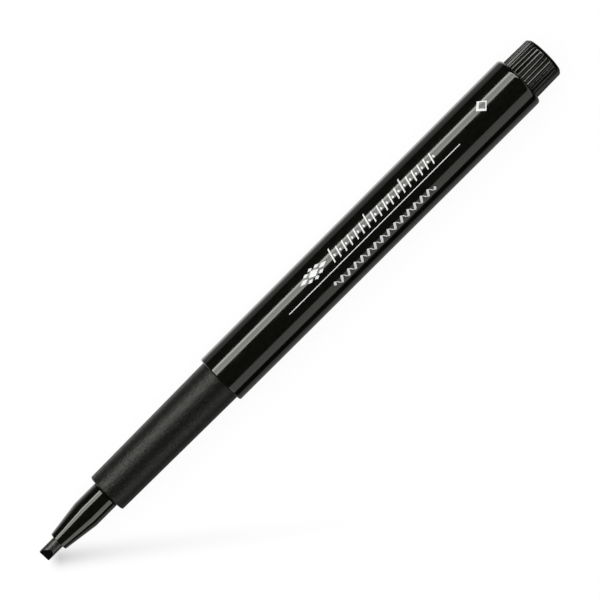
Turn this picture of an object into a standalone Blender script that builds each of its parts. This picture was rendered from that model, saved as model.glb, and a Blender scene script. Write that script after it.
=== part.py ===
"""A calligraphy marker without its cap: seven push-fitted pieces on one axis.

Units are metres. The pen lies along X with its nib towards -X, and the origin is
on its axis, halfway along. Each piece is drawn standing on its front end at z = 0,
and a name that ends in _AT says how far that end lies behind the tip of the nib.
"""

from math import atan2, cos, pi, radians, sin

import bmesh
import bpy
from mathutils import Matrix

MM = 0.001
SIDES = 32                      # flats round every turned piece, all in step
HALF_FLAT = pi / SIDES          # turns the outlines so that a flat faces down
FLAT_SCALE = 1.0 / cos(HALF_FLAT)   # so that the flats touch the true circle
MERGE = 0.001 * MM
ROUND_STEPS = 4                 # chords in a rounded corner
SHARP_ANGLE = radians(35)

TOTAL_LENGTH = 141.0 * MM
COLLECTION = "calligraphy_marker"

# Nib: a round fibre rod with a chisel edge in front and a blunt point behind.
NIB_LENGTH = 31.5 * MM
NIB_RADIUS = 1.30 * MM
NIB_CORNER = 0.2 * MM
CHISEL_LENGTH = 1.95 * MM
CHISEL_EDGE = 0.25 * MM
CHISEL_TURN = radians(20)       # of the upper chisel face, from +Z towards -Y
TAIL_LENGTH = 3.0 * MM
TAIL_TIP_RADIUS = 0.35 * MM

# Nose cone: a taper, then a straight neck for the cap's seal, then a flange and a
# sleeve hidden in the grip.
CONE_AT = 4.1 * MM
CONE_TIP_RADIUS = 2.04 * MM
CONE_RIM = 0.12 * MM
CONE_TAPER = 7.6 * MM
NECK_RADIUS = 3.09 * MM
FLANGE_RADIUS = 3.55 * MM
FLANGE_FROM = 15.45 * MM
FLANGE_TO = 17.4 * MM
SLEEVE_RADIUS = 2.6 * MM
CONE_LENGTH = 21.0 * MM
CONE_BORE = 1.40 * MM
CONE_HOLLOW = 2.05 * MM
HOLLOW_FROM = 8.7 * MM
CLAMP_RIBS = 4
CLAMP_RADIUS = 1.33 * MM
CLAMP_WIDTH = 0.6 * MM
CLAMP_FROM = 4.0 * MM
CLAMP_TO = 20.5 * MM

# Grip: the matt sleeve that the fingers hold, with a spigot that fits the barrel.
GRIP_AT = 17.6 * MM
GRIP_FRONT_RADIUS = 4.46 * MM
GRIP_REAR_RADIUS = 4.77 * MM
GRIP_RIM = 0.2 * MM
GRIP_WALL = 1.8 * MM            # front wall, which the flange of the cone bears on
GRIP_MOUTH = 3.20 * MM
GRIP_BORE = 3.65 * MM
SPIGOT_RADIUS = 4.66 * MM
SPIGOT_LENGTH = 12.3 * MM
SNAP_RADIUS = 4.80 * MM
SNAP_FROM = 4.0 * MM            # behind the front of the barrel
SNAP_WIDTH = 0.8 * MM
SNAP_RAMP = 0.5 * MM
SPIGOT_LEAD = 0.6 * MM
SPIGOT_CHAMFER = 0.25 * MM
SEAM_STEP = 0.5 * MM            # the grip narrows to its spigot just inside the seam

# Barrel: the drafted outer tube, with ribs inside that centre the reservoir.
BARREL_AT = 49.5 * MM
BARREL_LENGTH = 84.1 * MM
BARREL_FRONT_RADIUS = 5.59 * MM
BARREL_REAR_RADIUS = 5.83 * MM
BARREL_RIM = 0.25 * MM
SHOULDER_LENGTH = 0.8 * MM
SHOULDER_RADIUS = 5.00 * MM     # inner edge of the rounded rear shoulder
SOCKET_RADIUS = 4.85 * MM
SOCKET_DEPTH = 12.5 * MM
SOCKET_RAMP = 0.4 * MM
BARREL_BORE = 4.45 * MM
CENTRING_RIBS = 4
CENTRING_RADIUS = 3.5 * MM
CENTRING_WIDTH = 0.8 * MM
CENTRING_FROM = 14.0 * MM
CENTRING_TO = 71.5 * MM

# Reservoir: a bonded fibre rod in a plastic film, pushed onto the tail of the nib.
RESERVOIR_AT = 25.5 * MM
RESERVOIR_LENGTH = 102.5 * MM
RESERVOIR_RADIUS = 3.2 * MM
TAIL_HOLE_RADIUS = 1.35 * MM
TAIL_HOLE_DEPTH = 6.6 * MM
FILM_INNER_RADIUS = 3.24 * MM
FILM_OUTER_RADIUS = 3.36 * MM

# End plug: a hollow spigot in the barrel and a ribbed head that the cap grips.
PLUG_AT = 122.0 * MM
PLUG_LENGTH = TOTAL_LENGTH - PLUG_AT
PLUG_SPIGOT_RADIUS = 4.35 * MM
PLUG_SPIGOT_LENGTH = 11.7 * MM
PLUG_LEAD = 0.5 * MM
PLUG_CHAMFER = 0.25 * MM
PLUG_BORE = 3.55 * MM
HEAD_FRONT_RADIUS = 4.87 * MM
HEAD_REAR_RADIUS = 4.75 * MM
HEAD_ROUND = 1.0 * MM
HEAD_WALL = 2.5 * MM
HEAD_RIBS = 30
GROOVE_WIDTH = 0.45 * MM
GROOVE_FLOOR = 4.62 * MM
PUSHER_FINS = 4
PUSHER_FROM = 6.3 * MM
PUSHER_RADIUS = 1.2 * MM
PUSHER_WIDTH = 0.8 * MM

OVERLAP = 0.25 * MM             # how far a joined rib reaches into its wall
CUTTER_REACH = 0.5 * MM         # how far a cutter stands proud of what it cuts
CUTTER_SIZE = 6.0 * MM


def clear_scene():
    for found in list(bpy.data.objects):
        bpy.data.objects.remove(found, do_unlink=True)


def new_collection(name):
    group = bpy.data.collections.new(name)
    bpy.context.scene.collection.children.link(group)
    return group


def plastic(name, colour, roughness):
    material = bpy.data.materials.new(name)
    material.use_nodes = True
    shader = material.node_tree.nodes["Principled BSDF"]
    shader.inputs["Base Color"].default_value = (*colour, 1.0)
    shader.inputs["Roughness"].default_value = roughness
    shader.inputs["Metallic"].default_value = 0.0
    return material


def rounded(start, end):
    """Points of a quarter ellipse that leaves start along the axis and ends across it."""
    points = []
    for step in range(ROUND_STEPS + 1):
        angle = 0.5 * pi * step / ROUND_STEPS
        radius = end[0] + (start[0] - end[0]) * cos(angle)
        height = start[1] + (end[1] - start[1]) * sin(angle)
        points.append((radius, height))
    return points


def turned(name, outside, inside):
    """A turned solid. Both lists of (radius, z) run from the front to the rear.

    A list that reaches radius 0 closes that side on the axis.
    """
    outline = outside[::-1] + inside
    count = len(outline)
    closed = outline[0][0] > 0.0
    edges = [(i, (i + 1) % count) for i in range(count if closed else count - 1)]
    across = (FLAT_SCALE * cos(HALF_FLAT), FLAT_SCALE * sin(HALF_FLAT))
    points = [(r * across[0], r * across[1], z) for r, z in outline]
    mesh = bpy.data.meshes.new(name)
    mesh.from_pydata(points, edges, [])
    piece = bpy.data.objects.new(name, mesh)
    screw = piece.modifiers.new("turn", "SCREW")
    screw.steps = SIDES
    screw.render_steps = SIDES
    screw.use_merge_vertices = True
    screw.merge_threshold = MERGE
    return piece


def block(low, high, turn):
    """The matrix that makes a unit cube the box from low to high, turned about Z."""
    size = [b - a for a, b in zip(low, high)]
    middle = [0.5 * (a + b) for a, b in zip(low, high)]
    scale = Matrix.Diagonal((*size, 1.0))
    return Matrix.Rotation(turn, 4, "Z") @ Matrix.Translation(middle) @ scale


def tool(name, matrices):
    """A hidden mesh of one box for each matrix, which a Boolean joins or cuts."""
    mesh = bpy.data.meshes.new(name)
    shape = bmesh.new()
    for matrix in matrices:
        bmesh.ops.create_cube(shape, size=1.0, matrix=matrix)
    shape.to_mesh(mesh)
    shape.free()
    cutter = bpy.data.objects.new(name, mesh)
    cutter.hide_render = True
    cutter.display_type = "WIRE"
    return cutter


def ring_of_blocks(name, count, radii, width, heights):
    """A ring of equal boxes, between two radii and two heights, for a Boolean."""
    low = (radii[0], -0.5 * width, heights[0])
    high = (radii[1], 0.5 * width, heights[1])
    return tool(name, [block(low, high, 2.0 * pi * i / count) for i in range(count)])


def combine(piece, other, operation, tools):
    """Joins or cuts the piece with a tool, which moves with it."""
    tools.objects.link(other)
    other.parent = piece
    boolean = piece.modifiers.new(other.name, "BOOLEAN")
    boolean.operation = operation
    boolean.solver = "EXACT"
    boolean.object = other


def make_nib(tools):
    outside = [(0.0, 0.0), (NIB_RADIUS - NIB_CORNER, 0.0), (NIB_RADIUS, NIB_CORNER)]
    outside += [(NIB_RADIUS, NIB_LENGTH - TAIL_LENGTH)]
    outside += [(TAIL_TIP_RADIUS, NIB_LENGTH), (0.0, NIB_LENGTH)]
    nib = turned("nib", outside, [])
    slope = atan2(NIB_RADIUS - 0.5 * CHISEL_EDGE, CHISEL_LENGTH)
    for side, name in ((1, "chisel_lower"), (-1, "chisel_upper")):
        edge = Matrix.Translation((0.5 * side * CHISEL_EDGE, 0.0, 0.0))
        lean = Matrix.Rotation(side * slope, 4, "Y")
        clear = Matrix.Translation((0.5 * side * CUTTER_SIZE, 0.0, 0.0))
        turn = Matrix.Rotation(CHISEL_TURN, 4, "Z")
        cube = turn @ edge @ lean @ clear @ Matrix.Scale(CUTTER_SIZE, 4)
        combine(nib, tool(name, [cube]), "DIFFERENCE", tools)
    return nib


def make_cone(tools):
    rim = rounded((CONE_TIP_RADIUS, CONE_RIM), (CONE_TIP_RADIUS - CONE_RIM, 0.0))
    outside = rim[::-1] + [(NECK_RADIUS, CONE_TAPER), (NECK_RADIUS, FLANGE_FROM)]
    outside += [(FLANGE_RADIUS, FLANGE_FROM), (FLANGE_RADIUS, FLANGE_TO)]
    outside += [(SLEEVE_RADIUS, FLANGE_TO), (SLEEVE_RADIUS, CONE_LENGTH)]
    ramp = CONE_HOLLOW - CONE_BORE
    inside = [(CONE_BORE, 0.0), (CONE_BORE, HOLLOW_FROM - ramp)]
    inside += [(CONE_HOLLOW, HOLLOW_FROM), (CONE_HOLLOW, CONE_LENGTH)]
    cone = turned("nib_cone", outside, inside)
    radii = (CLAMP_RADIUS, CONE_HOLLOW + OVERLAP)
    heights = (CLAMP_FROM, CLAMP_TO)
    ribs = ring_of_blocks("clamp_ribs", CLAMP_RIBS, radii, CLAMP_WIDTH, heights)
    combine(cone, ribs, "UNION", tools)
    return cone


def make_grip():
    seam = BARREL_AT - GRIP_AT
    length = seam + SPIGOT_LENGTH
    snap = seam + SNAP_FROM
    snap_end = snap + SNAP_WIDTH
    rim = rounded((GRIP_FRONT_RADIUS, GRIP_RIM), (GRIP_FRONT_RADIUS - GRIP_RIM, 0.0))
    outside = rim[::-1] + [(GRIP_REAR_RADIUS, seam), (SPIGOT_RADIUS, seam + SEAM_STEP)]
    outside += [(SPIGOT_RADIUS, snap - SNAP_RAMP), (SNAP_RADIUS, snap)]
    outside += [(SNAP_RADIUS, snap_end), (SPIGOT_RADIUS, snap_end + SNAP_RAMP)]
    outside += [(SPIGOT_RADIUS, length - SPIGOT_LEAD)]
    outside += [(SPIGOT_RADIUS - SPIGOT_CHAMFER, length)]
    inside = [(GRIP_MOUTH, 0.0), (GRIP_MOUTH, GRIP_WALL)]
    inside += [(GRIP_BORE, GRIP_WALL), (GRIP_BORE, length)]
    return turned("grip_section", outside, inside)


def make_barrel(tools):
    front = (BARREL_FRONT_RADIUS, BARREL_RIM)
    rim = rounded(front, (BARREL_FRONT_RADIUS - BARREL_RIM, 0.0))
    rear = (BARREL_REAR_RADIUS, BARREL_LENGTH - SHOULDER_LENGTH)
    outside = rim[::-1] + rounded(rear, (SHOULDER_RADIUS, BARREL_LENGTH))
    inside = [(SOCKET_RADIUS, 0.0), (SOCKET_RADIUS, SOCKET_DEPTH)]
    inside += [(BARREL_BORE, SOCKET_DEPTH + SOCKET_RAMP), (BARREL_BORE, BARREL_LENGTH)]
    barrel = turned("barrel", outside, inside)
    radii = (CENTRING_RADIUS, BARREL_BORE + OVERLAP)
    heights = (CENTRING_FROM, CENTRING_TO)
    ribs = ring_of_blocks("centring_ribs", CENTRING_RIBS, radii, CENTRING_WIDTH, heights)
    combine(barrel, ribs, "UNION", tools)
    return barrel


def make_reservoir():
    outside = [(RESERVOIR_RADIUS, 0.0), (RESERVOIR_RADIUS, RESERVOIR_LENGTH)]
    outside += [(0.0, RESERVOIR_LENGTH)]
    inside = [(TAIL_HOLE_RADIUS, 0.0), (TAIL_HOLE_RADIUS, TAIL_HOLE_DEPTH - TAIL_LENGTH)]
    inside += [(TAIL_TIP_RADIUS, TAIL_HOLE_DEPTH), (0.0, TAIL_HOLE_DEPTH)]
    return turned("ink_reservoir", outside, inside)


def make_wrap():
    outside = [(FILM_OUTER_RADIUS, 0.0), (FILM_OUTER_RADIUS, RESERVOIR_LENGTH)]
    inside = [(FILM_INNER_RADIUS, 0.0), (FILM_INNER_RADIUS, RESERVOIR_LENGTH)]
    return turned("reservoir_wrap", outside, inside)


def make_plug(tools):
    lead = (PLUG_SPIGOT_RADIUS - PLUG_CHAMFER, 0.0)
    spigot = [lead, (PLUG_SPIGOT_RADIUS, PLUG_LEAD)]
    spigot += [(PLUG_SPIGOT_RADIUS, PLUG_SPIGOT_LENGTH)]
    corner = (HEAD_REAR_RADIUS, PLUG_LENGTH - HEAD_ROUND)
    end = rounded(corner, (HEAD_REAR_RADIUS - HEAD_ROUND, PLUG_LENGTH))
    outside = spigot + [(HEAD_FRONT_RADIUS, PLUG_SPIGOT_LENGTH)] + end
    outside += [(0.0, PLUG_LENGTH)]
    floor = PLUG_LENGTH - HEAD_WALL
    plug = turned("end_plug", outside, [(PLUG_BORE, 0.0), (PLUG_BORE, floor), (0.0, floor)])
    radii = (PUSHER_RADIUS, PLUG_BORE + OVERLAP)
    heights = (PUSHER_FROM, floor + OVERLAP)
    fins = ring_of_blocks("pusher_fins", PUSHER_FINS, radii, PUSHER_WIDTH, heights)
    combine(plug, fins, "UNION", tools)
    radii = (GROOVE_FLOOR, HEAD_FRONT_RADIUS + CUTTER_REACH)
    heights = (PLUG_SPIGOT_LENGTH - CUTTER_REACH, PLUG_LENGTH + CUTTER_REACH)
    grooves = ring_of_blocks("head_grooves", HEAD_RIBS, radii, GROOVE_WIDTH, heights)
    combine(plug, grooves, "DIFFERENCE", tools)
    return plug


def joint_empty(name, parent, station, group):
    """An empty on the pen's axis: what hangs from it slides along that axis."""
    empty = bpy.data.objects.new(name, None)
    empty.empty_display_size = 5.0 * MM
    empty.location = (0.0, 0.0, station)
    empty.parent = parent
    group.objects.link(empty)
    return empty


def place(piece, parent, offset, material, group):
    """Hangs a piece from its empty, offset behind it, with its own material."""
    piece.parent = parent
    piece.location = (0.0, 0.0, offset)
    piece.data.materials.append(material)
    group.objects.link(piece)


def bake(piece):
    """Makes the modifiers' result the mesh, with round faces smooth and edges sharp."""
    evaluated = piece.evaluated_get(bpy.context.evaluated_depsgraph_get())
    mesh = bpy.data.meshes.new_from_object(evaluated)
    mesh.shade_smooth()
    mesh.set_sharp_from_angle(angle=SHARP_ANGLE)
    piece.modifiers.clear()
    piece.data = mesh


def main():
    clear_scene()
    group = new_collection(COLLECTION)
    tools = new_collection("cutters")
    root = joint_empty("pen_axis", None, 0.0, group)
    root.location = (-0.5 * TOTAL_LENGTH, 0.0, 0.0)
    root.rotation_euler = (0.0, radians(90), 0.0)
    section = joint_empty("section_slide", root, GRIP_AT, group)
    tip = joint_empty("nib_slide", section, -GRIP_AT, group)
    end = joint_empty("plug_slide", root, PLUG_AT, group)

    gloss = (0.012, 0.012, 0.012)
    matt = (0.022, 0.022, 0.021)
    place(make_barrel(tools), root, BARREL_AT, plastic("barrel", gloss, 0.12), group)
    place(make_reservoir(), root, RESERVOIR_AT, plastic("ink_reservoir", matt, 0.9), group)
    film = plastic("reservoir_wrap", (0.62, 0.64, 0.66), 0.25)
    place(make_wrap(), root, RESERVOIR_AT, film, group)
    place(make_grip(), section, 0.0, plastic("grip_section", matt, 0.7), group)
    cone = plastic("nib_cone", gloss, 0.15)
    place(make_cone(tools), section, CONE_AT - GRIP_AT, cone, group)
    place(make_nib(tools), tip, 0.0, plastic("nib", (0.015, 0.014, 0.015), 0.85), group)
    place(make_plug(tools), end, 0.0, plastic("end_plug", matt, 0.4), group)

    bpy.context.view_layer.update()
    for piece in group.objects:
        if piece.type == "MESH":
            bake(piece)


main()
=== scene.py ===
"""The looks of the calligraphy marker: fine meshes, materials, print, light and camera.

Every piece is drawn about the X axis of the row frame, in metres, from the boxes of
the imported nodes. The nib is towards -X, and +Z is the side that carries the print.
"""

from math import atan2, cos, hypot, pi, radians, sin, tan

import bmesh
import bpy
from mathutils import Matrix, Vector


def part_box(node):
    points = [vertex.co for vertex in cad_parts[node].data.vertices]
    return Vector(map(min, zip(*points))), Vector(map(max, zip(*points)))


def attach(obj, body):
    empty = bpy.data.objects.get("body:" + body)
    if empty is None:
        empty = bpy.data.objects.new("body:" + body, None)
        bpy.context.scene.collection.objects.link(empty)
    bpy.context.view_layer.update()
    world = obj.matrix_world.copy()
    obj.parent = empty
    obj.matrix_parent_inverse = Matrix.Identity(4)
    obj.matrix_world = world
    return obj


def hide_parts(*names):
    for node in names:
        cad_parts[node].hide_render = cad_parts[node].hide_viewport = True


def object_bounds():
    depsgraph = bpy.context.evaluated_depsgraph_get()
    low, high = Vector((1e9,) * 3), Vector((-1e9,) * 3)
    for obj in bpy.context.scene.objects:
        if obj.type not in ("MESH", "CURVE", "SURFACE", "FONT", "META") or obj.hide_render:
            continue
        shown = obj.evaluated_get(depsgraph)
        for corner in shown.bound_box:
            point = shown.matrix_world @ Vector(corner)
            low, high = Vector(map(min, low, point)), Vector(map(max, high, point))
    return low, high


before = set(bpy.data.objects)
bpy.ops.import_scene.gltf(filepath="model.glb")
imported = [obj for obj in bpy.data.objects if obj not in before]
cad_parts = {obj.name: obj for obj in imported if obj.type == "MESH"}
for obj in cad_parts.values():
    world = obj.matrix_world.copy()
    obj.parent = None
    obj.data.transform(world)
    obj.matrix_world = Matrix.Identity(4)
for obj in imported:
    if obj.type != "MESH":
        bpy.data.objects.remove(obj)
cad_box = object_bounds()

MM = 0.001
FINE_SIDES = 256                # sides of a large turned piece
SMALL_SIDES = 128               # sides of the nib and the parts in its cone
FILLET_STEPS = 8
BRACE = 0.04 * MM               # how close to an edge the bracing points are
SHARP_ANGLE = radians(28)

# Shape details that the boxes of the nodes don't give.
OVERLAP = 0.2 * MM              # how far a joined rib reaches into its wall
INNER_LIP = 0.1 * MM            # rounding of the moulded inner edges
LEAD_IN = 0.3 * MM              # rounding of the end of a spigot

BARREL_FRONT_RADIUS = 5.59 * MM
BARREL_RIM = 0.35 * MM
SHOULDER = 0.85 * MM
SOCKET_RADIUS = 4.85 * MM
SOCKET_DEPTH = 12.5 * MM
SOCKET_RAMP = 0.4 * MM
SOCKET_LIP = 0.12 * MM
BARREL_BORE = 4.45 * MM
CENTRING_RIBS = 4
CENTRING_RADIUS = 3.5 * MM
CENTRING_WIDTH = 0.8 * MM
CENTRING_SPAN = (14.0 * MM, 71.5 * MM)

GRIP_FRONT_RADIUS = 4.46 * MM
GRIP_REAR_RADIUS = 4.77 * MM
GRIP_RIM = 0.35 * MM
GRIP_WALL = 1.8 * MM
GRIP_MOUTH = 3.20 * MM
GRIP_BORE = 3.65 * MM
SPIGOT_RADIUS = 4.66 * MM
SNAP_FROM = 4.0 * MM
SNAP_WIDTH = 0.8 * MM
SNAP_RAMP = 0.5 * MM

CONE_TIP_RADIUS = 2.04 * MM
CONE_RIM = 0.14 * MM
CONE_TIP_LIP = 0.06 * MM
CONE_TAPER = 7.6 * MM
CONE_BLEND = 6.0 * MM           # rounding between the taper and the neck
NECK_RADIUS = 3.09 * MM
FLANGE_SPAN = (15.45 * MM, 17.4 * MM)
SLEEVE_RADIUS = 2.6 * MM
CONE_BORE = 1.40 * MM
CONE_HOLLOW = 2.05 * MM
HOLLOW_FROM = 8.7 * MM
CLAMP_RIBS = 4
CLAMP_RADIUS = 1.34 * MM
CLAMP_WIDTH = 0.6 * MM
CLAMP_FROM = 4.0 * MM
CLAMP_BEFORE_REAR = 0.7 * MM
NECK_GROOVE_WIDTH = 0.36 * MM   # a V groove round the neck, just in front of the grip
NECK_GROOVE_DEPTH = 0.12 * MM

NIB_CORNER = 0.2 * MM
CHISEL_LENGTH = 1.95 * MM
CHISEL_EDGE = 0.25 * MM
CHISEL_TURN = radians(20)       # of the upper chisel face, from +Z towards -Y
NIB_SOFTENING = 0.05 * MM
TAIL_LENGTH = 3.0 * MM
TAIL_TIP_RADIUS = 0.35 * MM
TAIL_TIP_ROUNDING = 0.15 * MM
TAIL_CLEARANCE = 0.05 * MM      # between the tail and the side of its hole
TAIL_GAP = 0.6 * MM             # between the tail and the bottom of its hole
ROD_ROUNDING = 0.2 * MM         # at both ends of the reservoir
FILM_THICKNESS = 0.12 * MM

PLUG_SPIGOT_RADIUS = 4.35 * MM
PLUG_SPIGOT_LENGTH = 11.7 * MM
PLUG_BORE = 3.55 * MM
HEAD_WALL = 2.5 * MM
HEAD_LIP = 0.06 * MM
HEAD_RIBS = 30
RIB_SAMPLES = 16
RIB_HEIGHT = 0.30 * MM
RIB_CREST = 0.6                 # how round the crests are: 0 is a sharp ridge
HEAD_ROUNDING = (               # end of the head: back from its rear face, radius, fillet
    (0.95, 4.75, 0.6), (0.35, 4.05, 0.5), (0.12, 2.8, 1.0),
)
PUSHER_FINS = 4
PUSHER_RADIUS = 1.2 * MM
PUSHER_WIDTH = 0.8 * MM
PUSHER_FROM = 6.3 * MM

# Print on the barrel: millimetres along X, and round the barrel from its top line
# towards +Y.
INK_LIFT = 0.004 * MM
INK_FILM = 0.010 * MM
INK_STRIP = 0.35                # widest strip of flat ink, so that it follows the barrel
INK_WELD = 0.0005
PRINT_REACH = 5.5               # no shape lies further from the top line
RULE_SPAN = (-2.15, 45.4)
RULE_HEIGHT = -0.51
RULE_WIDTH = 0.17
EMBLEM_AT = (6.9, 1.9)
FRIEZE_SPAN = (11.4, 40.9)
FRIEZE_BAND = (0.31, 2.73)
FRIEZE_PITCH = 1.62
FRIEZE_TALL_EVERY = 6           # one stroke in so many is taller, by FRIEZE_RISE
FRIEZE_RISE = 0.8
FRIEZE_DIAMOND = (0.26, 0.34)   # half its length and half its height
FRIEZE_DIAMOND_AT = 1.08        # its middle, from the start of the stroke before it
STROKE_LEAN = 0.25
STROKE_WIDTH = 0.34
WAVE_SPAN = (8.4, 36.0)
WAVE_HEIGHT = -3.03
WAVE_RISE = 0.6
WAVE_PITCH = 1.84
WAVE_STEPS = 24                 # in one pitch
PEN_EDGE = 0.54                 # the broad pen that draws the wave, and its angle
PEN_ANGLE = radians(40)
OPEN_LOZENGE = (53.7, 1.85, 1.5, 1.4, 0.5)  # its middle, half its sides, and its line

# View: from straight above the print, through a long lens.
VIEW_SIDE = 119.05 * MM         # what the square picture takes in
LENS = 250.0
SENSOR = 36.0
PEN_ROLL = radians(44.98)
PEN_OFFSET = (-0.952 * MM, -0.992 * MM)     # right and up, from the middle of the picture

# Floor: its own brightness, and how bright the pen's gloss sees it: a painted glow, by
# millimetres from the pen's axis towards +Y.
FLOOR_SIZE = 4.0
FLOOR_GLOW = 0.925
FLOOR_DIFFUSE = 0.08
FLOOR_REACH = 0.1               # how far to either side the brightness is stated
FLOOR_GLOSS_PEAK = 1.6
FLOOR_GLOSS = (
    (-30, 0.0), (-22, 0.36), (-12, 0.33), (-7, 0.28), (7, 1.0), (9.5, 1.45), (11.8, 1.6),
    (14, 0.68), (17, 0.45), (45, 0.42), (62, 0.25), (85, 0.0),
)
FLOOR_GLOSS_ENDS = (0.068, 0.078)   # where it fades out, from the middle along X
# Painted shadow on the floor: a soft wedge that leaves the nib, darkest near its start and
# fading along it.
SHADOW_FROM = (-70.7 * MM, -1.1 * MM, 0.0)
SHADOW_TURN = radians(-38.0)
SHADOW_WIDTH = 1.2              # millimetres at its start, as is all below
SHADOW_SPREAD = 0.012           # width gained in each millimetre
SHADOW_START = 2.2
SHADOW_LENGTH = 95.0
SHADOW_DARKNESS = 3.6           # over the distance from SHADOW_SOURCE before its start
SHADOW_SOURCE = 6.4

# Lights: the sky for dull surfaces, and softboxes for the gloss.
SKY_STRENGTH = 3.6
SKY_ANGLE = radians(110)
SKY_TURN = (radians(-12), radians(-18), 0.0)
STUDIO_DARK = 0.02
LIGHT_TINT = (0.985, 1.0, 0.95)
LIGHT_DISTANCE = 0.5
# Name, the angles between which it is seen, its radiance, and its span along X.
SOFTBOXES = (
    ("key_inner", 23.5, 31.5, 6.6, (-0.36, 2.5)),
    ("key_middle", 31.5, 45.5, 5.2, (-0.36, 2.5)),
    ("key_outer", 45.5, 53.3, 10.3, (-0.36, 2.5)),
    ("fill_front", -84.0, -49.0, 2.4, (-0.36, -0.06)),
    ("fill_rear", -84.0, -49.0, 1.15, (-0.06, 2.5)),
)


# ---------------------------------------------------------------- mesh tools

def filleted(corners, closed=True):
    """Rounds the corners of an outline. A corner is (x, radius) or (x, radius, fillet)."""
    points = []
    count = len(corners)
    for i, corner in enumerate(corners):
        here = Vector(corner[:2])
        end = not closed and i in (0, count - 1)
        if len(corner) == 2 or end:
            points.append(tuple(here))
            continue
        before = (Vector(corners[i - 1][:2]) - here).normalized()
        after = (Vector(corners[(i + 1) % count][:2]) - here).normalized()
        half = 0.5 * before.angle(after)
        centre = here + (before + after).normalized() * (corner[2] / sin(half))
        start = here + before * (corner[2] / tan(half)) - centre
        finish = here + after * (corner[2] / tan(half)) - centre
        first = atan2(start.y, start.x)
        sweep = (atan2(finish.y, finish.x) - first + pi) % (2.0 * pi) - pi
        for step in range(FILLET_STEPS + 1):
            angle = first + sweep * step / FILLET_STEPS
            reach = Vector((cos(angle), sin(angle))) * corner[2]
            points.append(tuple(centre + reach))
    return points


def braced(outline):
    """Adds a point near both ends of each long line, so that its shading stays true."""
    points = []
    for here, ahead in zip(outline, outline[1:] + outline[:1]):
        points.append(here)
        step = Vector(ahead) - Vector(here)
        if step.length > 3.0 * BRACE and min(here[1], ahead[1]) > 0.0:
            points.append(tuple(Vector(here) + step.normalized() * BRACE))
            points.append(tuple(Vector(ahead) - step.normalized() * BRACE))
    return points


def spun(name, outline, sides, shape=None):
    """A turned mesh about X. shape(radius, angle) may give the radius of each side."""
    build = bmesh.new()
    outline = braced(outline)
    rings = []
    for x, radius in outline:
        ring = []
        for side in range(sides if radius > 0.0 else 1):
            angle = 2.0 * pi * side / sides
            reach = shape(radius, angle) if shape else radius
            ring.append(build.verts.new((x, reach * cos(angle), reach * sin(angle))))
        rings.append(ring)
    pairs = list(zip(rings, rings[1:]))
    if outline[0][1] > 0.0:
        pairs.append((rings[-1], rings[0]))
    for one, other in pairs:
        for side in range(sides):
            following = (side + 1) % sides
            loop = [one[side % len(one)], one[following % len(one)]]
            loop += [other[following % len(other)], other[side % len(other)]]
            build.faces.new(list(dict.fromkeys(loop)))
    return finished(name, build)


def finished(name, build):
    """Turns a bmesh into an object with round faces smooth and edges sharp."""
    bmesh.ops.recalc_face_normals(build, faces=build.faces)
    mesh = bpy.data.meshes.new(name)
    build.to_mesh(mesh)
    build.free()
    mesh.shade_smooth()
    mesh.set_sharp_from_angle(angle=SHARP_ANGLE)
    piece = bpy.data.objects.new(name, mesh)
    bpy.context.scene.collection.objects.link(piece)
    return piece


def applied(piece):
    """Applies the modifiers of a piece and shades it again."""
    evaluated = piece.evaluated_get(bpy.context.evaluated_depsgraph_get())
    mesh = bpy.data.meshes.new_from_object(evaluated)
    piece.modifiers.clear()
    mesh.shade_smooth()
    mesh.set_sharp_from_angle(angle=SHARP_ANGLE)
    piece.data = mesh


def fins(name, count, radii, width, span):
    """A ring of flat fins about X, between two radii and over a span of X."""
    build = bmesh.new()
    for i in range(count):
        angle = 2.0 * pi * i / count
        made = bmesh.ops.create_cube(build, size=1.0)["verts"]
        for vert in made:
            x = span[0] + (vert.co.x + 0.5) * (span[1] - span[0])
            out = radii[0] + (vert.co.y + 0.5) * (radii[1] - radii[0])
            side = vert.co.z * width
            y = out * cos(angle) - side * sin(angle)
            z = out * sin(angle) + side * cos(angle)
            vert.co = (x, y, z)
    return finished(name, build)


def joined(piece, other):
    """Makes one body of two overlapping meshes."""
    union = piece.modifiers.new("join", "BOOLEAN")
    union.operation = "UNION"
    union.solver = "EXACT"
    union.object = other
    applied(piece)
    bpy.data.objects.remove(other, do_unlink=True)


def span_of(node):
    """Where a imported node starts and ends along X, and its largest radius."""
    low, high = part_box(node)
    return low.x, high.x, high.y


BARREL_FRONT, BARREL_REAR, BARREL_REAR_RADIUS = span_of("barrel")
PLUG_RADIUS = span_of("end_plug")[2]


# ---------------------------------------------------------------- pieces

def make_barrel():
    front = BARREL_FRONT
    rear = BARREL_REAR
    step = front + SOCKET_DEPTH
    outline = [(front, BARREL_FRONT_RADIUS, BARREL_RIM), (rear, BARREL_REAR_RADIUS, SHOULDER)]
    outline += [(rear, BARREL_BORE, INNER_LIP), (step + SOCKET_RAMP, BARREL_BORE)]
    outline += [(step, SOCKET_RADIUS), (front, SOCKET_RADIUS, SOCKET_LIP)]
    barrel = spun("barrel_shell", filleted(outline), FINE_SIDES)
    radii = (CENTRING_RADIUS, BARREL_BORE + OVERLAP)
    span = [front + at for at in CENTRING_SPAN]
    joined(barrel, fins("centring_ribs", CENTRING_RIBS, radii, CENTRING_WIDTH, span))
    return barrel


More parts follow.
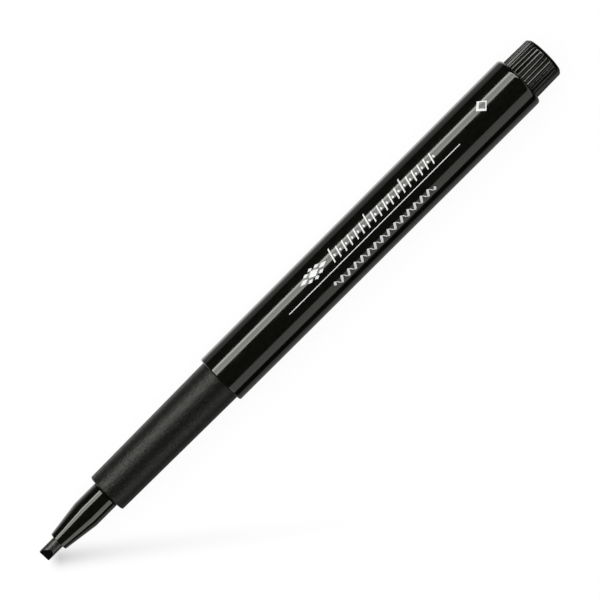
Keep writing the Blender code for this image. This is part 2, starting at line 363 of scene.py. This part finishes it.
def make_grip():
    front, rear, snap_radius = span_of("grip_section")
    seam = BARREL_FRONT
    snap = seam + SNAP_FROM
    wall = front + GRIP_WALL
    outline = [(front, GRIP_FRONT_RADIUS, GRIP_RIM), (seam, GRIP_REAR_RADIUS)]
    outline += [(seam + SNAP_RAMP, SPIGOT_RADIUS), (snap - SNAP_RAMP, SPIGOT_RADIUS)]
    outline += [(snap, snap_radius, INNER_LIP), (snap + SNAP_WIDTH, snap_radius, INNER_LIP)]
    outline += [(snap + SNAP_WIDTH + SNAP_RAMP, SPIGOT_RADIUS), (rear, SPIGOT_RADIUS, LEAD_IN)]
    outline += [(rear, GRIP_BORE, INNER_LIP), (wall, GRIP_BORE), (wall, GRIP_MOUTH)]
    outline += [(front, GRIP_MOUTH, INNER_LIP)]
    return spun("grip_sleeve", filleted(outline), FINE_SIDES)


def make_cone():
    front, rear, flange_radius = span_of("nib_cone")
    flange = [front + at for at in FLANGE_SPAN]
    hollow = front + HOLLOW_FROM
    groove = span_of("grip_section")[0]
    outline = [(front, CONE_TIP_RADIUS, CONE_RIM)]
    outline += [(front + CONE_TAPER, NECK_RADIUS, CONE_BLEND)]
    outline += [(groove - NECK_GROOVE_WIDTH, NECK_RADIUS)]
    outline += [(groove - 0.5 * NECK_GROOVE_WIDTH, NECK_RADIUS - NECK_GROOVE_DEPTH)]
    outline += [(groove, NECK_RADIUS)]
    outline += [(flange[0], NECK_RADIUS), (flange[0], flange_radius, INNER_LIP)]
    outline += [(flange[1], flange_radius, INNER_LIP), (flange[1], SLEEVE_RADIUS)]
    outline += [(rear, SLEEVE_RADIUS, INNER_LIP), (rear, CONE_HOLLOW)]
    outline += [(hollow, CONE_HOLLOW), (hollow - CONE_HOLLOW + CONE_BORE, CONE_BORE)]
    outline += [(front, CONE_BORE, CONE_TIP_LIP)]
    cone = spun("nose_cone", filleted(outline), FINE_SIDES)
    radii = (CLAMP_RADIUS, CONE_HOLLOW + OVERLAP)
    span = (front + CLAMP_FROM, rear - CLAMP_BEFORE_REAR)
    joined(cone, fins("clamp_ribs", CLAMP_RIBS, radii, CLAMP_WIDTH, span))
    return cone


def make_nib():
    front, rear, radius = span_of("nib")
    outline = [(front, 0.0), (front, radius, NIB_CORNER), (rear - TAIL_LENGTH, radius)]
    outline += [(rear, TAIL_TIP_RADIUS, TAIL_TIP_ROUNDING), (rear, 0.0)]
    nib = spun("chisel_nib", filleted(outline, closed=False), SMALL_SIDES)
    slope = atan2(radius - 0.5 * CHISEL_EDGE, CHISEL_LENGTH)
    build = bmesh.new()
    build.from_mesh(nib.data)
    for side in (1, -1):
        out = Vector((0.0, -sin(CHISEL_TURN), cos(CHISEL_TURN))) * side
        normal = out * cos(slope) - Vector((sin(slope), 0.0, 0.0))
        point = out * 0.5 * CHISEL_EDGE + Vector((front, 0.0, 0.0))
        whole = build.verts[:] + build.edges[:] + build.faces[:]
        cut = bmesh.ops.bisect_plane(
            build, geom=whole, plane_co=point, plane_no=normal, clear_outer=True
        )["geom_cut"]
        rim = [part for part in cut if isinstance(part, bmesh.types.BMEdge)]
        bmesh.ops.contextual_create(build, geom=rim)
    bmesh.ops.recalc_face_normals(build, faces=build.faces)
    build.to_mesh(nib.data)
    build.free()
    soft = nib.modifiers.new("soften", "BEVEL")
    soft.width = NIB_SOFTENING
    soft.segments = 3
    soft.limit_method = "ANGLE"
    soft.angle_limit = SHARP_ANGLE
    applied(nib)
    return nib


def ribbed(radius, angle):
    """The plug's radius where it is ribbed: narrow crests with sharp valleys between."""
    across = (angle * HEAD_RIBS / (2.0 * pi)) % 1.0 * 2.0 - 1.0
    fall = (hypot(across, RIB_CREST) - RIB_CREST) / (hypot(1.0, RIB_CREST) - RIB_CREST)
    return min(radius, PLUG_RADIUS - RIB_HEIGHT * fall)


def make_plug():
    front, rear, radius = span_of("end_plug")
    seat = front + PLUG_SPIGOT_LENGTH
    floor = rear - HEAD_WALL
    outline = [(floor, 0.0), (floor, PLUG_BORE), (front, PLUG_BORE, INNER_LIP)]
    outline += [(front, PLUG_SPIGOT_RADIUS, LEAD_IN), (seat, PLUG_SPIGOT_RADIUS)]
    outline += [(seat, radius, HEAD_LIP)]
    for back, reach, fillet in HEAD_ROUNDING:
        outline.append((rear - back * MM, reach * MM, fillet * MM))
    outline += [(rear, 0.0)]
    profile = filleted(outline, closed=False)
    plug = spun("plug", profile, HEAD_RIBS * RIB_SAMPLES, ribbed)
    radii = (PUSHER_RADIUS, PLUG_BORE + OVERLAP)
    span = (front + PUSHER_FROM, floor + OVERLAP)
    joined(plug, fins("pusher_fins", PUSHER_FINS, radii, PUSHER_WIDTH, span))
    return plug


def make_reservoir():
    front, rear, radius = span_of("ink_reservoir")
    nib_radius = span_of("nib")[2] + TAIL_CLEARANCE
    tail = span_of("nib")[1] + TAIL_GAP
    outline = [(rear, 0.0), (rear, radius, ROD_ROUNDING), (front, radius, ROD_ROUNDING)]
    outline += [(front, nib_radius, INNER_LIP), (tail - TAIL_LENGTH, nib_radius)]
    outline += [(tail, TAIL_TIP_RADIUS), (tail, 0.0)]
    return spun("fibre_reservoir", filleted(outline, closed=False), SMALL_SIDES)


def make_wrap():
    front, rear, radius = span_of("reservoir_wrap")
    inner = radius - FILM_THICKNESS
    outline = [(front, radius), (rear, radius), (rear, inner), (front, inner)]
    return spun("film_wrap", outline, SMALL_SIDES)


# ---------------------------------------------------------------- print

def barrel_radius(x):
    """The barrel's outer radius at x, in metres."""
    along = (x - BARREL_FRONT) / (BARREL_REAR - BARREL_FRONT)
    return BARREL_FRONT_RADIUS + (BARREL_REAR_RADIUS - BARREL_FRONT_RADIUS) * along


def lozenge(x, height, half_length, half_height):
    """A diamond, as a broad pen makes when it touches the paper."""
    corners = ((-half_length, 0.0), (0.0, half_height), (half_length, 0.0), (0.0, -half_height))
    return [(x + dx, height + dy) for dx, dy in corners]


def stroke(x, low, high, lean, width):
    """A straight pen stroke from low to high that leans along X, with slanted ends."""
    cut = 0.35 * width
    return [
        (x, low), (x + width, low + cut), (x + width + lean, high), (x + lean, high - cut),
    ]


def wave(start, end, height, rise, pitch):
    """A wavy line swept by a broad pen edge, so that it swells and thins as it turns."""
    half = (0.5 * PEN_EDGE * cos(PEN_ANGLE), 0.5 * PEN_EDGE * sin(PEN_ANGLE))
    count = int((end - start) / pitch * WAVE_STEPS)
    upper, lower = [], []
    for i in range(count + 1):
        x = start + (end - start) * i / count
        y = height + rise * sin(2.0 * pi * (x - start) / pitch)
        upper.append((x - half[0], y + half[1]))
        lower.append((x + half[0], y - half[1]))
    return [upper[i:i + 2] + lower[i:i + 2][::-1] for i in range(count)]


def open_lozenge(x, height, half_length, half_height, line):
    """The outline of a diamond in four strokes, alternately broad and thin."""
    outer = lozenge(x, height, half_length, half_height)
    inner = lozenge(x, height, half_length - line, half_height - line)
    shift = 0.35 * line
    inner = [(x + shift, y) for x, y in inner]
    return [
        [outer[i], outer[(i + 1) % 4], inner[(i + 1) % 4], inner[i]] for i in range(4)
    ]


def emblem(x, height):
    """Nine diamonds: one large, four round it, and four small ones at the corners."""
    shapes = [lozenge(x, height, 1.35, 0.68)]
    for side in (-1, 1):
        shapes.append(lozenge(x + 2.55 * side, height, 1.05, 0.4))
        shapes.append(lozenge(x, height + 1.1 * side, 0.6, 0.34))
        shapes.append(lozenge(x + 1.45 * side, height + 0.78 * side, 0.68, 0.32))
        shapes.append(lozenge(x + 1.45 * side, height - 0.78 * side, 0.68, 0.32))
    return shapes


def frieze(start, end, low, high):
    """Leaning pen strokes with a diamond between each pair."""
    shapes = []
    for i in range(int((end - start) / FRIEZE_PITCH)):
        x = start + FRIEZE_PITCH * i
        top = high + FRIEZE_RISE * (i % FRIEZE_TALL_EVERY == 0)
        shapes.append(stroke(x, low, top, STROKE_LEAN * (top - low), STROKE_WIDTH))
        shapes.append(lozenge(x + FRIEZE_DIAMOND_AT, 0.5 * (low + high), *FRIEZE_DIAMOND))
    return shapes


def print_shapes():
    """The outlines of all the print: emblem, frieze, rule, wavy line and end mark."""
    low = RULE_HEIGHT - 0.5 * RULE_WIDTH
    high = RULE_HEIGHT + 0.5 * RULE_WIDTH
    start, end = RULE_SPAN
    shapes = [[(start, low), (end, low), (end, high), (start, high)]]
    shapes += emblem(*EMBLEM_AT)
    shapes += frieze(*FRIEZE_SPAN, *FRIEZE_BAND)
    shapes += wave(*WAVE_SPAN, WAVE_HEIGHT, WAVE_RISE, WAVE_PITCH)
    shapes += open_lozenge(*OPEN_LOZENGE)
    return shapes


def make_print():
    """Every shape as a thin film of ink, bent round the barrel."""
    build = bmesh.new()
    for shape in print_shapes():
        build.faces.new([build.verts.new((x, y, 0.0)) for x, y in shape])
    bmesh.ops.remove_doubles(build, verts=build.verts, dist=INK_WELD)
    lines = int(PRINT_REACH / INK_STRIP)
    for line in range(-lines, lines + 1):
        whole = build.verts[:] + build.edges[:] + build.faces[:]
        bmesh.ops.bisect_plane(
            build, geom=whole, plane_co=(0.0, line * INK_STRIP, 0.0), plane_no=(0.0, 1.0, 0.0)
        )
    bmesh.ops.recalc_face_normals(build, faces=build.faces)
    thick = bmesh.ops.extrude_face_region(build, geom=build.faces[:])["geom"]
    for part in thick:
        if isinstance(part, bmesh.types.BMVert):
            part.co.z = 1.0
    for vert in build.verts:
        x = vert.co.x * MM
        reach = barrel_radius(x) + INK_LIFT + INK_FILM * vert.co.z
        angle = vert.co.y * MM / barrel_radius(x)
        vert.co = (x, reach * sin(angle), reach * cos(angle))
    return finished("barrel_print", build)


# ---------------------------------------------------------------- materials

def add(tree, kind, **settings):
    """A new node. Settings name its properties, or its inputs with in_ before them."""
    node = tree.nodes.new("ShaderNode" + kind)
    for name, value in settings.items():
        if name.startswith("in_"):
            node.inputs[name[3:].replace("_", " ")].default_value = value
        else:
            setattr(node, name, value)
    return node


def plastic(name, colour, roughness, specular=0.5):
    """A Principled material, its tree, its shader and a vector in millimetres."""
    material = bpy.data.materials.new(name)
    material.use_nodes = True
    tree = material.node_tree
    shader = tree.nodes["Principled BSDF"]
    shader.inputs["Base Color"].default_value = (*colour, 1.0)
    shader.inputs["Roughness"].default_value = roughness
    shader.inputs["Specular IOR Level"].default_value = specular
    shader.inputs["Specular Tint"].default_value = (1.0, 1.0, 0.97, 1.0)
    place = add(tree, "TexCoord")
    scale = add(tree, "Mapping", in_Scale=(1000.0, 1000.0, 1000.0))
    tree.links.new(place.outputs["Object"], scale.inputs["Vector"])
    return material, tree, shader, scale.outputs["Vector"]


def noise(tree, vector, scale, detail=2.0, stretch=None):
    """Noise with scale features a millimetre, longer along X where stretch is under 1."""
    if stretch:
        squeeze = add(tree, "Mapping", in_Scale=(stretch, 1.0, 1.0))
        tree.links.new(vector, squeeze.inputs["Vector"])
        vector = squeeze.outputs["Vector"]
    texture = add(tree, "TexNoise", in_Scale=scale, in_Detail=detail)
    tree.links.new(vector, texture.inputs["Vector"])
    return texture.outputs["Fac"]


def spread(tree, source, low, high, start=0.3, end=0.7):
    """Maps a noise between start and end onto a value between low and high."""
    ramp = add(tree, "MapRange", in_From_Min=start, in_From_Max=end)
    ramp.inputs["To Min"].default_value = low
    ramp.inputs["To Max"].default_value = high
    tree.links.new(source, ramp.inputs["Value"])
    return ramp.outputs["Result"]


def blended(tree, factor, one, other):
    """A colour between two, by a factor from 0 to 1."""
    mix = add(tree, "Mix", data_type="RGBA")
    mix.inputs["A"].default_value = (*one, 1.0)
    mix.inputs["B"].default_value = (*other, 1.0)
    tree.links.new(factor, mix.inputs["Factor"])
    return mix.outputs["Result"]


def bump(tree, shader, height, depth, before=None):
    """Relief of depth metres between a height of 0 and 1."""
    relief = add(tree, "Bump", in_Strength=1.0, in_Distance=depth)
    tree.links.new(height, relief.inputs["Height"])
    if before:
        tree.links.new(before.outputs["Normal"], relief.inputs["Normal"])
    tree.links.new(relief.outputs["Normal"], shader.inputs["Normal"])
    return relief


def gloss_black(name, roughness):
    """Polished black moulding: a faint ripple, and haze where it has been handled."""
    material, tree, shader, mm = plastic(name, (0.003, 0.0032, 0.0022), roughness)
    haze = spread(tree, noise(tree, mm, 0.35, 4.0), 0.8 * roughness, 1.5 * roughness)
    tree.links.new(haze, shader.inputs["Roughness"])
    tone = spread(tree, noise(tree, mm, 0.9, 3.0), 0.0, 1.0)
    colour = blended(tree, tone, (0.0024, 0.0026, 0.0017), (0.0042, 0.0043, 0.0031))
    tree.links.new(colour, shader.inputs["Base Color"])
    ripple = bump(tree, shader, noise(tree, mm, 0.25, 1.0, 0.4), 0.004 * MM)
    bump(tree, shader, noise(tree, mm, 6.0, 2.0), 0.0003 * MM, ripple)
    return material


def grip_black():
    """Black moulding from a spark-eroded mould: fine dull grains all over."""
    material, tree, shader, mm = plastic("grip_texture", (0.002, 0.002, 0.0014), 0.42, 0.27)
    grain = noise(tree, mm, 2.9, 4.0)
    shine = spread(tree, noise(tree, mm, 3.6, 3.0), 0.36, 0.18, 0.35, 0.65)
    tree.links.new(shine, shader.inputs["Specular IOR Level"])
    dull = spread(tree, grain, 0.36, 0.48)
    tree.links.new(dull, shader.inputs["Roughness"])
    tone = spread(tree, grain, 0.0, 1.0, 0.35, 0.65)
    colour = blended(tree, tone, (0.001, 0.001, 0.0006), (0.0036, 0.0036, 0.003))
    tree.links.new(colour, shader.inputs["Base Color"])
    coarse = bump(tree, shader, grain, 0.09 * MM)
    bump(tree, shader, noise(tree, mm, 8.0, 2.0), 0.008 * MM, coarse)
    return material


def plug_black():
    """Polished black ribs with a fine drag along them."""
    material, tree, shader, mm = plastic("plug_satin", (0.003, 0.003, 0.0025), 0.17)
    drag = noise(tree, mm, 5.0, 3.0, 0.15)
    tree.links.new(spread(tree, drag, 0.13, 0.21), shader.inputs["Roughness"])
    tone = spread(tree, noise(tree, mm, 3.0, 3.0), 0.0, 1.0)
    colour = blended(tree, tone, (0.0018, 0.0018, 0.0013), (0.0045, 0.0045, 0.004))
    tree.links.new(colour, shader.inputs["Base Color"])
    bump(tree, shader, drag, 0.003 * MM)
    return material


def nib_fibre():
    """Bonded fibres with pale glints, and black ink where the chisel faces are cut."""
    material, tree, shader, mm = plastic("nib_fibre_black", (0.02, 0.02, 0.018), 0.4)
    strands = noise(tree, mm, 6.0, 4.0, 0.3)
    tone = spread(tree, strands, 0.0, 1.0, 0.42, 0.7)
    dry = blended(tree, tone, (0.003, 0.003, 0.0022), (0.032, 0.032, 0.029))
    flat = add(tree, "Mapping", in_Scale=(0.0, 1.0, 1.0))
    reach = add(tree, "VectorMath", operation="LENGTH")
    tree.links.new(mm, flat.inputs["Vector"])
    tree.links.new(flat.outputs["Vector"], reach.inputs[0])
    skin = spread(tree, reach.outputs["Value"], 0.0, 1.0, 1.27, 1.295)
    mix = add(tree, "Mix", data_type="RGBA")
    mix.inputs["A"].default_value = (0.002, 0.002, 0.0022, 1.0)
    tree.links.new(dry, mix.inputs["B"])
    tree.links.new(skin, mix.inputs["Factor"])
    tree.links.new(mix.outputs["Result"], shader.inputs["Base Color"])
    wet = spread(tree, skin, 0.16, 0.36, 0.0, 1.0)
    tree.links.new(wet, shader.inputs["Roughness"])
    long = bump(tree, shader, strands, 0.03 * MM)
    bump(tree, shader, noise(tree, mm, 16.0, 2.0, 0.4), 0.01 * MM, long)
    return material


def reservoir_fibre():
    """Fibre rod soaked with ink, with fine strands along it."""
    material, tree, shader, mm = plastic("soaked_fibre", (0.02, 0.02, 0.023), 0.7)
    strands = noise(tree, mm, 6.0, 4.0, 0.05)
    tone = spread(tree, strands, 0.0, 1.0)
    colour = blended(tree, tone, (0.008, 0.008, 0.01), (0.05, 0.05, 0.055))
    tree.links.new(colour, shader.inputs["Base Color"])
    bump(tree, shader, strands, 0.05 * MM)
    return material


def film():
    """Thin clear film, slightly creased."""
    material, tree, shader, mm = plastic("clear_film", (0.75, 0.77, 0.78), 0.15)
    shader.inputs["Transmission Weight"].default_value = 0.9
    shader.inputs["IOR"].default_value = 1.45
    crease = noise(tree, mm, 0.8, 3.0, 0.2)
    tree.links.new(spread(tree, crease, 0.1, 0.25), shader.inputs["Roughness"])
    bump(tree, shader, crease, 0.02 * MM)
    return material


def ink_white():
    """Pad-printed ink: off-white, a little thinner in places."""
    material, tree, shader, mm = plastic("print_ink", (0.6, 0.61, 0.62), 0.45)
    tone = spread(tree, noise(tree, mm, 8.0, 3.0), 0.0, 1.0)
    colour = blended(tree, tone, (0.55, 0.56, 0.58), (0.78, 0.79, 0.80))
    tree.links.new(colour, shader.inputs["Base Color"])
    bump(tree, shader, noise(tree, mm, 12.0, 2.0), 0.002 * MM)
    return material


# ---------------------------------------------------------------- stage and view

def camera_rays_only(tree, shown, otherwise):
    """Mixes two shaders: one for what the camera sees, one for the light it gives."""
    path = add(tree, "LightPath")
    mix = add(tree, "MixShader")
    tree.links.new(path.outputs["Is Camera Ray"], mix.inputs["Fac"])
    tree.links.new(otherwise, mix.inputs[1])
    tree.links.new(shown, mix.inputs[2])
    return mix.outputs["Shader"]


def maths(tree, operation, one, other=None, clamp=False):
    """A Math node. Each input is a socket or a number."""
    node = add(tree, "Math", operation=operation, use_clamp=clamp)
    for i, value in enumerate((one, other)):
        if isinstance(value, bpy.types.NodeSocket):
            tree.links.new(value, node.inputs[i])
        elif value is not None:
            node.inputs[i].default_value = value
    return node.outputs["Value"]


def painted_nib_shadow(tree):
    """How much light the floor keeps under a painted soft shadow that leaves the nib and fades
    away.
    """
    place = add(tree, "TexCoord")
    local = add(tree, "Mapping", vector_type="TEXTURE")
    local.inputs["Location"].default_value = SHADOW_FROM
    local.inputs["Rotation"].default_value = (0.0, 0.0, SHADOW_TURN)
    local.inputs["Scale"].default_value = (MM, MM, MM)
    split = add(tree, "SeparateXYZ")
    tree.links.new(place.outputs["Object"], local.inputs["Vector"])
    tree.links.new(local.outputs["Vector"], split.inputs["Vector"])
    along = split.outputs["X"]
    width = maths(tree, "MULTIPLY_ADD", along, SHADOW_SPREAD)
    width.node.inputs[2].default_value = SHADOW_WIDTH
    off = maths(tree, "DIVIDE", split.outputs["Y"], width)
    squared = maths(tree, "MULTIPLY", off, off)
    soft = maths(tree, "EXPONENT", maths(tree, "MULTIPLY", squared, -0.5))
    depth = maths(tree, "DIVIDE", SHADOW_DARKNESS, maths(tree, "ADD", along, SHADOW_SOURCE))
    gone = maths(tree, "DIVIDE", along, SHADOW_LENGTH)
    fade = maths(tree, "SUBTRACT", 1.0, gone, clamp=True)
    start = spread(tree, along, 0.0, 1.0, 0.0, SHADOW_START)
    dark = maths(tree, "MULTIPLY", maths(tree, "MULTIPLY", depth, fade), soft)
    return maths(tree, "SUBTRACT", 1.0, maths(tree, "MULTIPLY", dark, start), clamp=True)


def painted_floor_glow(tree):
    """The floor as the pen's gloss sees it: a painted glow, bright below the pen, dark further
    off.
    """
    place = add(tree, "TexCoord")
    split = add(tree, "SeparateXYZ")
    tree.links.new(place.outputs["Object"], split.inputs["Vector"])
    across = maths(tree, "MULTIPLY_ADD", split.outputs["Y"], 0.5 / FLOOR_REACH)
    across.node.inputs[2].default_value = 0.5
    ramp = add(tree, "ValToRGB")
    stops = ramp.color_ramp.elements
    while len(stops) < len(FLOOR_GLOSS):
        stops.new(0.5)
    for stop, (at, level) in zip(stops, FLOOR_GLOSS):
        stop.position = 0.5 + 0.5 * at * MM / FLOOR_REACH
        part = level / FLOOR_GLOSS_PEAK
        stop.color = (part, part, part, 1.0)
    tree.links.new(across, ramp.inputs["Fac"])
    far = maths(tree, "ABSOLUTE", split.outputs["X"])
    glow = add(tree, "Emission")
    tree.links.new(ramp.outputs["Color"], glow.inputs["Color"])
    near = spread(tree, far, FLOOR_GLOSS_PEAK, 0.0, *FLOOR_GLOSS_ENDS)
    tree.links.new(near, glow.inputs["Strength"])
    return glow.outputs["Emission"]


def make_floor(height):
    """A white floor that glows so that it stays bright round the pen, with a painted shadow from
    the nib and a painted glow for the pen's gloss.
    """
    build = bmesh.new()
    bmesh.ops.create_grid(build, x_segments=8, y_segments=8, size=FLOOR_SIZE)
    floor = finished("studio_floor", build)
    floor.location.z = height
    material = bpy.data.materials.new("floor_white")
    material.use_nodes = True
    material.cycles.emission_sampling = "NONE"
    tree = material.node_tree
    tree.nodes.clear()
    out = add(tree, "OutputMaterial")
    # The floor's glow is darkened by the painted nib shadow.
    kept = painted_nib_shadow(tree)
    dull = add(tree, "BsdfDiffuse", in_Color=(*[FLOOR_DIFFUSE] * 3, 1.0))
    glow = add(tree, "Emission")
    lit = add(tree, "AddShader")
    tree.links.new(maths(tree, "MULTIPLY", kept, FLOOR_GLOW), glow.inputs["Strength"])
    tree.links.new(dull.outputs["BSDF"], lit.inputs[0])
    tree.links.new(glow.outputs["Emission"], lit.inputs[1])
    # The camera sees the glowing white floor; all other rays see only the painted glow.
    mixed = camera_rays_only(tree, lit.outputs["Shader"], painted_floor_glow(tree))
    tree.links.new(mixed, out.inputs["Surface"])
    floor.data.materials.append(material)


def make_world():
    """White behind the pen, and a dark studio for its reflections."""
    world = bpy.data.worlds.new("studio")
    bpy.context.scene.world = world
    world.use_nodes = True
    world.cycles.sampling_method = "NONE"
    tree = world.node_tree
    tree.nodes.clear()
    out = add(tree, "OutputWorld")
    white = add(tree, "Background", in_Strength=1.0)
    white.inputs["Color"].default_value = (1.0, 1.0, 1.0, 1.0)
    dark = add(tree, "Background", in_Strength=STUDIO_DARK)
    dark.inputs["Color"].default_value = (1.0, 1.0, 1.0, 1.0)
    mixed = camera_rays_only(tree, white.outputs["Background"], dark.outputs["Background"])
    tree.links.new(mixed, out.inputs["Surface"])


def softbox(name, low, high, radiance, span):
    """A long light beside the pen, seen in its gloss between two angles from above.

    Angles are degrees round the pen's axis, positive towards +Y, and span is where
    the light starts and ends along X.
    """
    middle = radians(0.5 * (low + high))
    width = 2.0 * LIGHT_DISTANCE * tan(radians(0.5 * abs(high - low)))
    length = span[1] - span[0]
    lamp = bpy.data.lights.new(name, "AREA")
    lamp.shape = "RECTANGLE"
    lamp.size = length
    lamp.size_y = width
    lamp.energy = radiance * pi * length * width
    lamp.color = LIGHT_TINT
    box = bpy.data.objects.new(name, lamp)
    across = (LIGHT_DISTANCE * sin(middle), LIGHT_DISTANCE * cos(middle))
    box.location = (0.5 * sum(span), *across)
    box.rotation_euler = (-middle, 0.0, 0.0)
    box.visible_camera = False
    box.visible_diffuse = False
    bpy.context.scene.collection.objects.link(box)


def skylight():
    """Even light for dull surfaces, soft enough to leave only a faint shadow."""
    lamp = bpy.data.lights.new("skylight", "SUN")
    lamp.energy = SKY_STRENGTH
    lamp.angle = SKY_ANGLE
    sun = bpy.data.objects.new("skylight", lamp)
    sun.rotation_euler = SKY_TURN
    sun.visible_glossy = False
    bpy.context.scene.collection.objects.link(sun)


def make_camera():
    """A long lens straight above the pen, turned so that the pen lies aslant."""
    across = Vector((cos(PEN_ROLL), -sin(PEN_ROLL), 0.0))
    up = Vector((sin(PEN_ROLL), cos(PEN_ROLL), 0.0))
    aim = -(across * PEN_OFFSET[0] + up * PEN_OFFSET[1])
    data = bpy.data.cameras.new("camera")
    data.lens = LENS
    data.sensor_width = SENSOR
    camera = bpy.data.objects.new("camera", data)
    camera.location = aim + Vector((0.0, 0.0, VIEW_SIDE * LENS / SENSOR))
    camera.rotation_euler = (0.0, 0.0, -PEN_ROLL)
    bpy.context.scene.collection.objects.link(camera)
    bpy.context.scene.camera = camera


# ---------------------------------------------------------------- assembly

def dress(piece, body, slot, material, *nodes):
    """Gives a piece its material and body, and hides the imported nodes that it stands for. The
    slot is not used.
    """
    piece.data.materials.clear()
    piece.data.materials.append(material)
    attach(piece, body)
    if nodes:
        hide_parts(*nodes)


def make_pieces():
    gloss = gloss_black("barrel_gloss", 0.09)
    dress(make_barrel(), "barrel_body", "barrel_plastic", gloss, "barrel")
    dress(make_print(), "barrel_body", "barrel_plastic", ink_white())
    dress(make_reservoir(), "barrel_body", "reservoir_fibre", reservoir_fibre(), "ink_reservoir")
    dress(make_wrap(), "barrel_body", "wrap_film", film(), "reservoir_wrap")
    dress(make_grip(), "front_section", "grip_plastic", grip_black(), "grip_section")
    cone = gloss_black("cone_gloss", 0.08)
    dress(make_cone(), "front_section", "cone_plastic", cone, "nib_cone")
    dress(make_nib(), "nib_body", "nib_fibre", nib_fibre(), "nib")
    dress(make_plug(), "plug_body", "plug_plastic", plug_black(), "end_plug")


def make_stage(height):
    make_floor(height)
    make_world()
    skylight()
    for box in SOFTBOXES:
        softbox(*box)


make_camera()
make_pieces()
make_stage(cad_box[0].z)
bpy.context.scene.view_settings.view_transform = "Standard"
